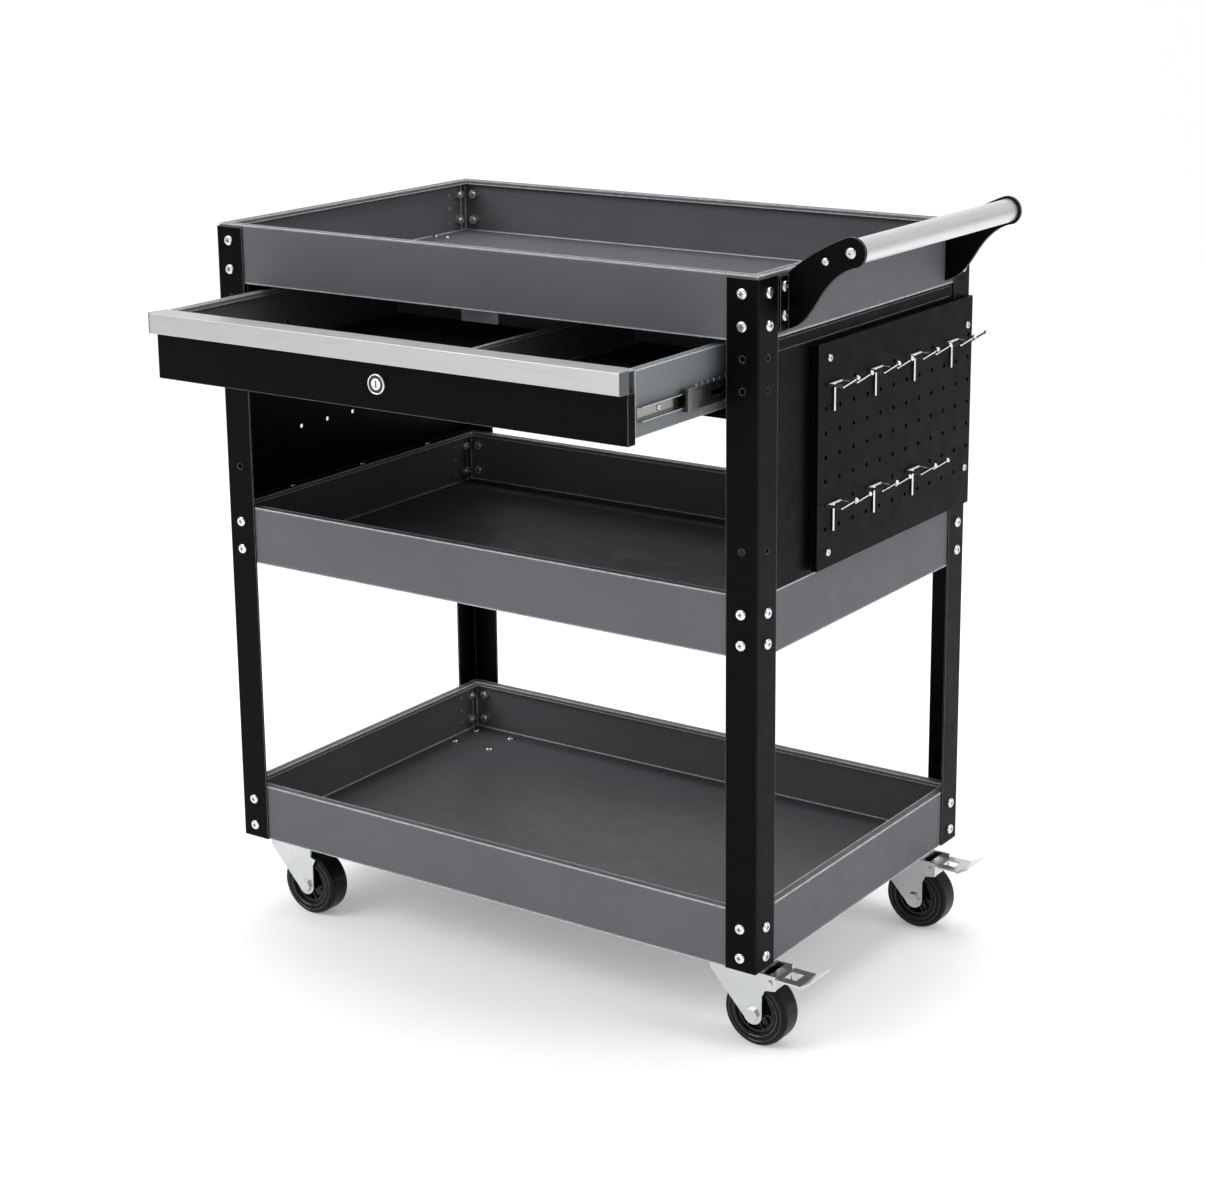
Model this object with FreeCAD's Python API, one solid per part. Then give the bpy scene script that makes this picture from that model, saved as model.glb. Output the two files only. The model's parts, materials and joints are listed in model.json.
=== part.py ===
"""Three-shelf rolling tool cart with one lockable drawer, a pegboard and a push handle.

Built in cart coordinates: X from the left posts to the right posts, Y from the front to
the back, Z up from the underside of the bottom tray.  Everything is moved at the end so
that the origin is the middle of the footprint at floor level, with the drawer part open.
"""
import FreeCAD, Part
import math
import os

V = FreeCAD.Vector

# ---- overall sizes (mm) -------------------------------------------------------------
WIDTH = 700.0            # left post face to right post face
DEPTH = 448.0            # front post face to rear post face
POST_H = 718.0
TRAY_H = 65.0            # wall height of every tray
TOP_TRAY_Z = 656.0       # underside of each tray above the lowest one
MID_TRAY_Z = 335.0

# ---- sheet and posts ----------------------------------------------------------------
POST_LEG = 36.5          # width of each leg of the angle posts
POST_T = 2.0
SHEET = 1.2
RIM = 10.0               # inward lip on a tray rim
RIM_DROP = 5.0           # turned-down edge of the lip
TRAY_CORNER = 1.5        # outer corner radius of a tray
HOLE_CLEAR = 0.3         # radial clearance of a bolt hole

# ---- fasteners ----------------------------------------------------------------------
BOLT_D = 6.0
BOLT_HEAD_D = 11.5
BOLT_HEAD_H = 3.3
NUT_AF = 10.0
NUT_H = 5.0
BOLT_TAIL = 2.0          # thread showing past a nut
SCREW_D = 4.0
SCREW_HEAD_D = 8.0
SCREW_HEAD_H = 2.2
BOLT_ROW = 15.0          # lower bolt above a tray's underside
BOLT_PITCH = 32.0        # also the pitch of the spare holes

# ---- drawer and slides --------------------------------------------------------------
DRAWER_OPEN = 150.0      # how far the drawer stands open
DRAWER_REAR_ROOM = 48.0  # drawer's back to the rear post face, when shut
DRAWER_BOTTOM_Z = 584.0
DRAWER_TOP_GAP = 6.0     # pull strip to the top tray
SLIDE_T = 12.7           # thickness of a closed slide
SLIDE_H = 27.0
SLIDE_REAR_ROOM = 38.0   # slide's rear end to the rear post face
SLIDE_Z = 607.0          # middle height of the slides
SLIDE_METAL = 1.0
SLIDE_PLAY = 1.6         # room between nested slide members
PULL_H = 22.0
PULL_DEPTH = 12.0        # how far the pull strip stands in front of the drawer front
PULL_T = 1.5
FRONT_DEPTH = 12.0       # depth of the folded drawer front
FRONT_DROP = 6.0         # the front hangs below the drawer floor
DIVIDER_OFF = 38.0       # divider to the right of the drawer's middle
DIVIDER_H = 42.0

# ---- lock ---------------------------------------------------------------------------
LOCK_BODY_D = 18.0
LOCK_HEAD_D = 21.5
LOCK_HEAD_H = 3.0
LOCK_PLUG_D = 11.0
LOCK_Z = 605.0
FIT = 0.06               # radial running clearance
CAM_T = 2.0
CAM_W = 12.0
CAM_REACH = 45.0
STRIKE_DROP = 16.0       # strike plate below the top tray
STRIKE_GAP = 2.0         # cam to strike with the drawer shut

# ---- pegboard -----------------------------------------------------------------------
PEG_STAND = 6.0          # board in front of the post faces
PEG_EDGE_Y = 104.0       # front edge of the board
PEG_REAR_IN = 6.0        # rear edge inside the rear post corner
PEG_BOTTOM_Z = 404.0
PEG_H = 234.0
PEG_PITCH_Y = 28.5
PEG_PITCH_Z = 25.0
PEG_HOLE_D = 5.5
PEG_MARGIN = 16.0        # first column from the front edge
HOOK_WIRE = 3.0
HOOK_CROSS = 2.7         # cross wire, a little thinner than the prongs
HOOK_OUT = 18.0
HOOK_TIP = 16.0          # run of the raised end
HOOK_RISE = 11.0
HOOK_LEG = 29.0
HOOK_BALL_D = 5.0

# ---- panels -------------------------------------------------------------------------
PANEL_TOP_FLANGE = 14.0
REAR_PANEL_Z = 462.0     # lower edge of the rear panel

# ---- push handle --------------------------------------------------------------------
HANDLE_OUT = 70.0        # tube centre outside the right posts
HANDLE_UP = 21.0         # tube centre above the tray rim
HANDLE_TUBE_D = 25.0
HANDLE_WALL = 1.5
BRACKET_Y = 54.0         # outer face of a bracket plate from the post face
BRACKET_T = 3.0
BRACKET_FLANGE = 18.0
BRACKET_TIP_R = 15.5
PLUG_LEN = 18.0

# ---- casters ------------------------------------------------------------------------
WHEEL_D = 75.0
WHEEL_GAP = 8.5          # tyre to the underside of the fork crown
WHEEL_W = 28.0
HUB_D = 46.0
HUB_W = 32.0
AXLE_D = 8.0
CASTER_IN_X = 44.0       # kingpin from the post face
CASTER_IN_Y = 46.0
TRAIL = 24.0             # axle behind the kingpin
PLATE_X = 76.0
PLATE_Y = 64.0
PLATE_T = 3.0
PLATE_HOLES_X = 56.0
PLATE_HOLES_Y = 46.0
RACE_D = 44.0
FORK_T = 2.5
FORK_TOP = 11.0          # top of the fork below the tray
KINGPIN_D = 10.0
FORK_GAP = 0.3           # side play between hub and fork leg
PEDAL_PIVOT_Z = 20.0     # below the tray
PEDAL_W = 36.0
PEDAL_REACH = 36.0       # pivot to the toe's fold
PEDAL_TOE = 13.0         # run of the raised toe
PEDAL_TOE_RISE = 8.0
SHOE_DROP = 7.2          # shoe's reach below the pivot; clears the tyre when pressed
PEDAL_T = 2.0
PEDAL_PIN_D = 4.0


# ---- derived values -----------------------------------------------------------------
RIM_Z = TOP_TRAY_Z + TRAY_H
WALL_IN = POST_T + SHEET                 # inner face of tray walls and side panels
BOLT_IN = POST_LEG / 2                   # bolt centre from a post corner
DRAWER_TOP_Z = TOP_TRAY_Z - DRAWER_TOP_GAP
DRAWER_DEPTH = DEPTH - FRONT_DEPTH - DRAWER_REAR_ROOM
DIVIDER_X = WIDTH / 2 + DIVIDER_OFF
SLIDE_START = FRONT_DEPTH + 2            # front end of the shut slides
SLIDE_LEN = DEPTH - SLIDE_START - SLIDE_REAR_ROOM
SLIDE_FACE = POST_LEG + 0.8              # slide's outer face inside the post leg
DRAWER_X0 = SLIDE_FACE + SLIDE_T
DRAWER_X1 = WIDTH - DRAWER_X0
HANDLE_X = WIDTH + HANDLE_OUT
HANDLE_Z = RIM_Z + HANDLE_UP
CASTER_H = FORK_TOP + FORK_T + WHEEL_GAP + WHEEL_D   # floor to the underside of the tray
PEDAL_PIVOT_X = TRAIL + WHEEL_D * 4 / 15   # ahead of the kingpin, over the tyre's shoulder
AXLE_Z = WHEEL_D / 2 - CASTER_H
ORIGIN = V((HANDLE_X + BRACKET_TIP_R - BOLT_HEAD_H) / 2,
           (DEPTH + BOLT_HEAD_H - DRAWER_OPEN - PULL_DEPTH) / 2,
           -CASTER_H)
AXIS = {"x": V(1, 0, 0), "y": V(0, 1, 0), "z": V(0, 0, 1)}


# ---- helpers ------------------------------------------------------------------------
def box(x0, x1, y0, y1, z0, z1):
    return Part.makeBox(x1 - x0, y1 - y0, z1 - z0, V(x0, y0, z0))


def rod(x, y, z, diameter, length, axis):
    """A cylinder that starts at the point and runs along +X, +Y or +Z."""
    return Part.makeCylinder(diameter / 2, length, V(x, y, z), AXIS[axis])


def join(pieces):
    """One solid from touching or overlapping pieces."""
    pieces = list(pieces)
    return pieces[0].fuse(pieces[1:]).removeSplitter()


def mirror_x(shape):
    """The same shape on the other side of the cart's middle."""
    return shape.mirror(V(WIDTH / 2, 0, 0), V(1, 0, 0))


def mirror_y(shape):
    return shape.mirror(V(0, DEPTH / 2, 0), V(0, 1, 0))


def turned(shape, axis):
    """Turn a shape made along +Z at the origin so that it runs along another axis."""
    turns = {"+x": (V(0, 1, 0), 90), "-x": (V(0, 1, 0), -90), "+y": (V(1, 0, 0), -90),
             "-y": (V(1, 0, 0), 90), "+z": (V(0, 0, 1), 0), "-z": (V(1, 0, 0), 180)}
    direction, angle = turns[axis]
    result = shape.copy()
    result.rotate(V(0, 0, 0), direction, angle)
    return result


def placed(shape, x, y, z, axis):
    result = turned(shape, axis)
    result.translate(V(x, y, z))
    return result


def hexagon(across, height):
    radius = across / math.sqrt(3)
    corners = [V(radius * math.cos(k * math.pi / 3), radius * math.sin(k * math.pi / 3), 0)
               for k in range(7)]
    return Part.Face(Part.makePolygon(corners)).extrude(V(0, 0, height))


def button_bolt(diameter, head_d, head_h, length):
    """Domed head below the origin, shank along +Z, with a hexagon socket."""
    radius = head_d / 2
    dome = Part.makeCylinder(radius, head_h, V(0, 0, -head_h))
    dome = dome.makeFillet(head_h * 0.7, [e for e in dome.Edges
                                          if abs(e.CenterOfMass.z + head_h) < 0.01
                                          and e.Length > radius])
    socket = hexagon(diameter * 0.6, head_h * 0.6)
    socket.translate(V(0, 0, -head_h))
    return dome.fuse(Part.makeCylinder(diameter / 2, length)).cut(socket)


def nut(diameter, across, height):
    body = hexagon(across, height)
    return body.cut(Part.makeCylinder(diameter / 2, height))


def profile(points, depth, axis):
    """Extrude an outline given in (across, up) pairs along +X or +Y."""
    if axis == "y":
        corners = [V(a, 0, b) for a, b in points]
    else:
        corners = [V(0, a, b) for a, b in points]
    return Part.Face(Part.makePolygon(corners + corners[:1])).extrude(AXIS[axis] * depth)


# ---- frame --------------------------------------------------------------------------
def tray_levels():
    return (0.0, MID_TRAY_Z, TOP_TRAY_Z)


def bolt_heights():
    return [z + BOLT_ROW + k * BOLT_PITCH for z in tray_levels() for k in (0, 1)]


def spare_heights():
    top = TOP_TRAY_Z + BOLT_ROW
    return (top - BOLT_PITCH, top - 2 * BOLT_PITCH, MID_TRAY_Z + BOLT_ROW + 3 * BOLT_PITCH)


def post():
    """Front left angle post with its bolt holes and spare holes."""
    angle = box(0, POST_LEG, 0, POST_LEG, 0, POST_H)
    angle = angle.cut(box(POST_T, POST_LEG, POST_T, POST_LEG, 0, POST_H))
    corner = [e for e in angle.Edges if e.Length > POST_H * 0.9
              and e.CenterOfMass.x + e.CenterOfMass.y < 0.1]
    angle = angle.makeFillet(POST_T * 0.9, corner)
    hole = BOLT_D + 2 * HOLE_CLEAR
    holes = []
    for z in list(bolt_heights()) + list(spare_heights()):
        holes.append(rod(BOLT_IN, -1, z, hole, POST_T + 2, "y"))
        holes.append(rod(-1, BOLT_IN, z, hole, POST_T + 2, "x"))
    return angle.cut(holes)


def posts():
    front = post()
    rear = mirror_y(front)
    return {"post_front_left": front, "post_front_right": mirror_x(front),
            "post_rear_left": rear, "post_rear_right": mirror_x(rear)}


def floor_screw_places():
    """Screws that hold the slide hangers and the side panels to the top tray floor."""
    hanger_x = (POST_LEG + WALL_IN + PANEL_TOP_FLANGE) / 2
    panel_x = POST_T + PANEL_TOP_FLANGE / 2
    return [(x, y) for x in (panel_x, hanger_x) for y in (DEPTH * 0.16, DEPTH / 2, DEPTH * 0.84)]


def four_corners(x, y):
    return [(x, y), (WIDTH - x, y), (x, DEPTH - y), (WIDTH - x, DEPTH - y)]


def tray(z):
    """Pressed tray: floor, four walls and a lip turned in and down at the rim."""
    x0, x1, y0, y1 = POST_T, WIDTH - POST_T, POST_T, DEPTH - POST_T
    top = z + TRAY_H
    outer = box(x0, x1, y0, y1, z, top)
    upright = [e for e in outer.Edges if abs(e.Length - TRAY_H) < 0.01]
    outer = outer.makeFillet(TRAY_CORNER, upright)
    room = box(x0 + SHEET, x1 - SHEET, y0 + SHEET, y1 - SHEET, z + SHEET, top - SHEET)
    mouth = box(x0 + RIM, x1 - RIM, y0 + RIM, y1 - RIM, z + SHEET, top)
    lip = box(x0 + RIM - SHEET, x1 - RIM + SHEET, y0 + RIM - SHEET, y1 - RIM + SHEET,
              top - RIM_DROP, top - SHEET)
    body = outer.cut([room, mouth]).fuse(lip.cut(mouth))
    hole = BOLT_D + 2 * HOLE_CLEAR
    holes = []
    for k in (0, 1):
        height = z + BOLT_ROW + k * BOLT_PITCH
        for x in (BOLT_IN, WIDTH - BOLT_IN):
            holes.append(rod(x, -1, height, hole, DEPTH + 2, "y"))
        for y in (BOLT_IN, DEPTH - BOLT_IN):
            holes.append(rod(-1, y, height, hole, WIDTH + 2, "x"))
    return body.cut(holes)


def sheets(body, z):
    """A drilled tray as its floor and four flanged walls, which meet face to face."""
    x0, x1, y0, y1 = POST_T, WIDTH - POST_T, POST_T, DEPTH - POST_T
    low, high = z - 1, z + TRAY_H + 1
    floor = box(x0 + SHEET, x1 - SHEET, y0 + SHEET, y1 - SHEET, low, z + SHEET)
    walls = body.cut(floor)
    strips = [box(x0 - 1, x1 + 1, y0 - 1, y0 + RIM, low, high),
              box(x0 - 1, x1 + 1, y1 - RIM, y1 + 1, low, high),
              box(x0 - 1, x0 + RIM, y0 + RIM, y1 - RIM, low, high),
              box(x1 - RIM, x1 + 1, y0 + RIM, y1 - RIM, low, high)]
    pieces = [body.common(floor)] + [walls.common(strip) for strip in strips]
    return Part.makeCompound([solid for piece in pieces for solid in piece.Solids])


def top_tray():
    holes = [rod(x, y, TOP_TRAY_Z - 1, SCREW_D, SHEET + 2, "z")
             for sx, y in floor_screw_places() for x in (sx, WIDTH - sx)]
    holes += [rod(x, y, TOP_TRAY_Z - 1, SCREW_D, SHEET + 2, "z") for x, y in strike_screws()]
    holes += [rod(WIDTH - POST_T - SHEET - 1, y, z, BOLT_D + 2 * HOLE_CLEAR, SHEET + 2, "x")
              for y, z in bracket_bolt_places()]
    return sheets(tray(TOP_TRAY_Z).cut(holes), TOP_TRAY_Z)


def rim_screw_places():
    return [(POST_T + RIM * 0.55, y) for y in (DEPTH * 0.22, DEPTH / 2, DEPTH * 0.78)]


def middle_tray():
    rim = MID_TRAY_Z + TRAY_H
    holes = [rod(x, y, rim - SHEET - 1, SCREW_D, SHEET + 2, "z")
             for sx, y in rim_screw_places() for x in (sx, WIDTH - sx)]
    return sheets(tray(MID_TRAY_Z).cut(holes), MID_TRAY_Z)


def bottom_tray():
    holes = [rod(x, y, -1, BOLT_D + 2 * HOLE_CLEAR, SHEET + 2, "z") for x, y in plate_bolts()]
    return sheets(tray(0.0).cut(holes), 0.0)


def side_panel():
    """Left panel between the middle tray rim and the top tray, flanged at both ends."""
    z0, z1 = MID_TRAY_Z + TRAY_H, TOP_TRAY_Z
    y0, y1 = POST_T, DEPTH - POST_T
    web = box(POST_T, WALL_IN, y0, y1, z0, z1)
    top = box(POST_T, POST_T + PANEL_TOP_FLANGE, y0, y1, z1 - SHEET, z1)
    foot = box(POST_T, POST_T + RIM, y0, y1, z0, z0 + SHEET)
    band = box(POST_T - 0.01, POST_T + SHEET / 3, POST_LEG + 4, DEPTH - POST_LEG - 4,
               z1 - PANEL_TOP_FLANGE, z1 - 3)
    holes = [rod(x, y, z1 - SHEET - 1, SCREW_D, SHEET + 2, "z")
             for x, y in floor_screw_places()[:3]]
    holes += [rod(x, y, z0 - 1, SCREW_D, SHEET + 2, "z") for x, y in rim_screw_places()]
    holes += [rod(POST_T - 1, 124 + 46 * k, 467, 5.0, SHEET + 2, "x") for k in range(3)]
    return join([web, top, foot]).cut([band] + holes)


def right_panel():
    holes = [rod(WIDTH - WALL_IN - 1, y, z, SCREW_D, SHEET + 2, "x")
             for y, z in board_screws()]
    return mirror_x(side_panel()).cut(holes)


def rear_panel():
    """Upper back panel between the rear posts, with a hem along its lower edge."""
    y1 = DEPTH - POST_T
    x0, x1 = WALL_IN, WIDTH - WALL_IN
    top = TOP_TRAY_Z - SHEET
    web = box(x0, x1, y1 - SHEET, y1, REAR_PANEL_Z, top)
    hem = box(POST_LEG, WIDTH - POST_LEG, y1 - RIM, y1, REAR_PANEL_Z, REAR_PANEL_Z + SHEET)
    holes = [rod(x, y1 - SHEET - 1, z, BOLT_D + 2 * HOLE_CLEAR, SHEET + 2, "y")
             for x, z in rear_panel_bolts()]
    return join([web, hem]).cut(holes)


def rear_panel_bolts():
    return [(x, z) for x in (BOLT_IN, WIDTH - BOLT_IN) for z in spare_heights()[:2]]


def frame_bolts():
    """Every tray bolt, the rear panel's bolts and their nuts."""
    grip = POST_T + SHEET
    bolt = button_bolt(BOLT_D, BOLT_HEAD_D, BOLT_HEAD_H, grip + NUT_H + BOLT_TAIL)
    lock_nut = nut(BOLT_D, NUT_AF, NUT_H)
    bolts, nuts = [], []
    for z in bolt_heights():
        for x in (BOLT_IN, WIDTH - BOLT_IN):
            bolts += [placed(bolt, x, 0, z, "+y"), placed(bolt, x, DEPTH, z, "-y")]
            nuts += [placed(lock_nut, x, grip, z, "+y"), placed(lock_nut, x, DEPTH - grip, z, "-y")]
        for y in (BOLT_IN, DEPTH - BOLT_IN):
            bolts += [placed(bolt, 0, y, z, "+x"), placed(bolt, WIDTH, y, z, "-x")]
            nuts += [placed(lock_nut, grip, y, z, "+x"), placed(lock_nut, WIDTH - grip, y, z, "-x")]
    for x, z in rear_panel_bolts():
        bolts.append(placed(bolt, x, DEPTH, z, "-y"))
        nuts.append(placed(lock_nut, x, DEPTH - grip, z, "-y"))
    return Part.makeCompound(bolts), Part.makeCompound(nuts)


def panel_screws():
    """Screws down through the tray floors, the panel flanges and out through the hangers."""
    screw = button_bolt(SCREW_D, SCREW_HEAD_D, SCREW_HEAD_H, 2 * SHEET)
    floor = TOP_TRAY_Z + SHEET
    foot = MID_TRAY_Z + TRAY_H + SHEET
    solids = [placed(screw, x, y, floor, "-z")
              for sx, y in floor_screw_places() for x in (sx, WIDTH - sx)]
    solids += [placed(screw, x, y, floor, "-z") for x, y in strike_screws()]
    solids += [placed(screw, x, y, foot, "-z")
               for sx, y in rim_screw_places() for x in (sx, WIDTH - sx)]
    return Part.makeCompound(solids + hanger_screws())


# ---- pegboard -----------------------------------------------------------------------
def board_screws():
    front_y = PEG_EDGE_Y + 0.75 * PEG_PITCH_Y
    rear_y = DEPTH - BOLT_IN
    return [(front_y, PEG_BOTTOM_Z + 16), (front_y, PEG_BOTTOM_Z + PEG_H - 16),
            (rear_y, spare_heights()[2]), (rear_y, spare_heights()[1])]


def peg_columns():
    first = PEG_EDGE_Y + PEG_MARGIN
    last = DEPTH - PEG_REAR_IN - PEG_HOLE_D
    return [first + k * PEG_PITCH_Y for k in range(int((last - first) / PEG_PITCH_Y) + 1)]


def peg_rows():
    first = PEG_BOTTOM_Z + PEG_H - 1.7 * PEG_PITCH_Z
    return [first - k * PEG_PITCH_Z for k in range(int((PEG_H - 2 * PEG_PITCH_Z) / PEG_PITCH_Z))]


def clear_of_screws(y, z):
    return all(math.hypot(y - sy, z - sz) > SCREW_HEAD_D for sy, sz in board_screws())


def pegboard():
    """Perforated plate with turned-back edges, standing off the posts."""
    x0, x1 = WIDTH + PEG_STAND, WIDTH + PEG_STAND + SHEET
    y0, y1 = PEG_EDGE_Y, DEPTH - PEG_REAR_IN
    z0, z1 = PEG_BOTTOM_Z, PEG_BOTTOM_Z + PEG_H
    shell = box(WIDTH, x1, y0, y1, z0, z1)
    shell = shell.cut(box(WIDTH, x0, y0 + SHEET, y1 - SHEET, z0 + SHEET, z1 - SHEET))
    holes = [rod(x0 - 1, y, z, PEG_HOLE_D, SHEET + 2, "x")
             for y in peg_columns() for z in peg_rows() if clear_of_screws(y, z)]
    holes += [rod(x0 - 1, y, z, SCREW_D, SHEET + 2, "x") for y, z in board_screws()]
    return shell.cut(holes)


def pegboard_fixings():
    """Screws and spacer sleeves behind the board, on the panel and on the rear post."""
    solids = []
    face = WIDTH + PEG_STAND + SHEET
    for index, (y, z) in enumerate(board_screws()):
        seat = WIDTH - POST_T if index < 2 else WIDTH
        sleeve = rod(seat, y, z, SCREW_HEAD_D + 2, WIDTH + PEG_STAND - seat, "x")
        solids.append(sleeve.cut(rod(seat, y, z, SCREW_D, face - seat, "x")))
        length = face - (WIDTH - WALL_IN) + 1
        screw = button_bolt(SCREW_D, SCREW_HEAD_D, SCREW_HEAD_H, length)
        solids.append(placed(screw, face, y, z, "-x"))
    return Part.makeCompound(solids)


def hook(y, z):
    """Double hook: two raised prongs, a cross wire and a steadying leg on the board."""
    face = WIDTH + PEG_STAND + SHEET
    x = face + HOOK_CROSS / 2
    pieces = [rod(x, y, z, HOOK_CROSS, PEG_PITCH_Y, "y")]
    pieces.append(rod(x, y + PEG_PITCH_Y / 2, z - HOOK_LEG, HOOK_CROSS - 0.2, HOOK_LEG, "z"))
    run = V(HOOK_TIP, 0, HOOK_RISE)
    for prong_y in (y, y + PEG_PITCH_Y):
        bend = V(x + HOOK_OUT, prong_y, z)
        pieces.append(rod(face - 5, prong_y, z, HOOK_WIRE, HOOK_OUT + 5 + HOOK_WIRE / 2, "x"))
        pieces.append(Part.makeSphere(HOOK_WIRE / 2 + 0.15, bend))
        pieces.append(Part.makeCylinder(HOOK_WIRE / 2, run.Length, bend, run))
        pieces.append(Part.makeSphere(HOOK_BALL_D / 2, bend + run))
    return pieces[0].fuse(pieces[1:])


def hooks():
    columns, rows = peg_columns(), peg_rows()
    upper = [hook(columns[k], rows[0]) for k in range(0, len(columns) - 1, 3)]
    lower = [hook(columns[k], rows[5]) for k in range(0, len(columns) - 4, 3)]
    return Part.makeCompound(upper + lower)


# ---- push handle --------------------------------------------------------------------
def bracket_bolt_places():
    """(Y, Z) of the bolts that hold both brackets to the top tray wall."""
    y = BRACKET_Y - BRACKET_FLANGE / 2 + BRACKET_T / 2
    heights = (TOP_TRAY_Z + 0.32 * TRAY_H, TOP_TRAY_Z + 0.76 * TRAY_H)
    return [(side, z) for side in (y, DEPTH - y) for z in heights]


def second_hole():
    return HANDLE_X - 28, HANDLE_Z - 10.5


def bracket():
    """Front bracket: a curved plate out to the tube and a flange on the tray wall."""
    wall = WIDTH - POST_T
    low, high = TOP_TRAY_Z + 5, RIM_Z - 5
    tip_top = V(HANDLE_X - 5, 0, HANDLE_Z + math.sqrt(BRACKET_TIP_R ** 2 - 25))
    tip_end = V(HANDLE_X + BRACKET_TIP_R, 0, HANDLE_Z)
    tip_low = V(HANDLE_X + 7, 0, HANDLE_Z - math.sqrt(BRACKET_TIP_R ** 2 - 49))
    rise = V(HANDLE_X - 47, 0, HANDLE_Z - 7)
    under = Part.BSplineCurve()
    under.interpolate([tip_low, V(HANDLE_X - 12, 0, HANDLE_Z - 22),
                       V(HANDLE_X - 29, 0, HANDLE_Z - 39), V(HANDLE_X - 46, 0, HANDLE_Z - 64),
                       V(wall, 0, low)])
    edges = [Part.Arc(V(wall, 0, high), rise, tip_top).toShape(),
             Part.Arc(tip_top, tip_end, tip_low).toShape(), under.toShape(),
             Part.makeLine(V(wall, 0, low), V(wall, 0, high))]
    plate = Part.Face(Part.Wire(edges)).extrude(V(0, BRACKET_T, 0))
    plate.translate(V(0, BRACKET_Y, 0))
    flange = box(wall, wall + BRACKET_T, BRACKET_Y + BRACKET_T - BRACKET_FLANGE,
                 BRACKET_Y + BRACKET_T, low, high)
    holes = [rod(wall - 1, y, z, BOLT_D + 2 * HOLE_CLEAR, BRACKET_T + 2, "x")
             for y, z in bracket_bolt_places()[:2]]
    holes.append(rod(HANDLE_X, BRACKET_Y - 1, HANDLE_Z, BOLT_D + 2 * HOLE_CLEAR,
                     BRACKET_T + 2, "y"))
    x, z = second_hole()
    holes.append(rod(x, BRACKET_Y - 1, z, SCREW_D + 2 * HOLE_CLEAR, BRACKET_T + 2, "y"))
    return join([plate, flange]).cut(holes)


def handle_tube():
    start = BRACKET_Y + BRACKET_T
    length = DEPTH - 2 * start
    tube = rod(HANDLE_X, start, HANDLE_Z, HANDLE_TUBE_D, length, "y")
    return tube.cut(rod(HANDLE_X, start, HANDLE_Z, HANDLE_TUBE_D - 2 * HANDLE_WALL, length, "y"))


def handle_plugs():
    start = BRACKET_Y + BRACKET_T
    plug = rod(HANDLE_X, start, HANDLE_Z, HANDLE_TUBE_D - 2 * HANDLE_WALL, PLUG_LEN, "y")
    plug = plug.cut(rod(HANDLE_X, start, HANDLE_Z, BOLT_D, PLUG_LEN, "y"))
    return Part.makeCompound([plug, mirror_y(plug)])


def handle_bolts():
    """Tube bolts, the bolts through the tray wall with nuts, and one rivet per bracket."""
    tube_bolt = button_bolt(BOLT_D, BOLT_HEAD_D, BOLT_HEAD_H, BRACKET_T + PLUG_LEN - 2)
    x, z = second_hole()
    rivet = button_bolt(SCREW_D, SCREW_HEAD_D, SCREW_HEAD_H, BRACKET_T + 2)
    tail = nut(SCREW_D, SCREW_HEAD_D - 1, 2.0)
    solids = [placed(tube_bolt, HANDLE_X, BRACKET_Y, HANDLE_Z, "+y"),
              placed(rivet, x, BRACKET_Y, z, "+y"),
              placed(tail, x, BRACKET_Y + BRACKET_T, z, "+y")]
    solids += [mirror_y(solid) for solid in solids]
    grip = BRACKET_T + SHEET
    wall_bolt = button_bolt(BOLT_D, BOLT_HEAD_D, BOLT_HEAD_H, grip + NUT_H + BOLT_TAIL)
    wall_nut = nut(BOLT_D, NUT_AF, NUT_H)
    face = WIDTH - POST_T + BRACKET_T
    for y, height in bracket_bolt_places():
        solids.append(placed(wall_bolt, face, y, height, "-x"))
        solids.append(placed(wall_nut, WIDTH - WALL_IN, y, height, "-x"))
    return Part.makeCompound(solids)


# ---- drawer (all made shut, then moved out by DRAWER_OPEN) ---------------------------
def drawer_box():
    """Folded box with inward lips along both sides."""
    x0, x1 = DRAWER_X0, DRAWER_X1
    y0, y1 = FRONT_DEPTH, FRONT_DEPTH + DRAWER_DEPTH
    z0, z1 = DRAWER_BOTTOM_Z, DRAWER_TOP_Z - PULL_T
    shell = box(x0, x1, y0, y1, z0, z1)
    room = box(x0 + SHEET, x1 - SHEET, y0 + SHEET, y1 - SHEET, z0 + SHEET, z1)
    lip = box(x0 + SHEET, x0 + RIM, y0 + SHEET, y1 - SHEET, z1 - SHEET, z1)
    fold = box(x0 + RIM - SHEET, x0 + RIM, y0 + SHEET, y1 - SHEET, z1 - RIM_DROP, z1)
    body = join([shell.cut(room), lip, fold, mirror_x(lip), mirror_x(fold)])
    lock_hole = rod(WIDTH / 2, y0 - 1, LOCK_Z, LOCK_BODY_D + 2 * HOLE_CLEAR, SHEET + 2, "y")
    screws = [rod(x, y0 - 1, z, SCREW_D, SHEET + 2, "y") for x, z in front_screws()]
    screws += [rod(x - 1, y, SLIDE_Z, SCREW_D, SHEET + 2, "x")
               for y in member_screw_places() for x in (x0, x1 - SHEET)]
    return body.cut([lock_hole] + screws)


def front_screws():
    z = (DRAWER_BOTTOM_Z + DRAWER_TOP_Z - PULL_H) / 2
    return [(WIDTH / 2 + s * (DRAWER_X1 - DRAWER_X0) * 0.32, z) for s in (-1, 1)]


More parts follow.
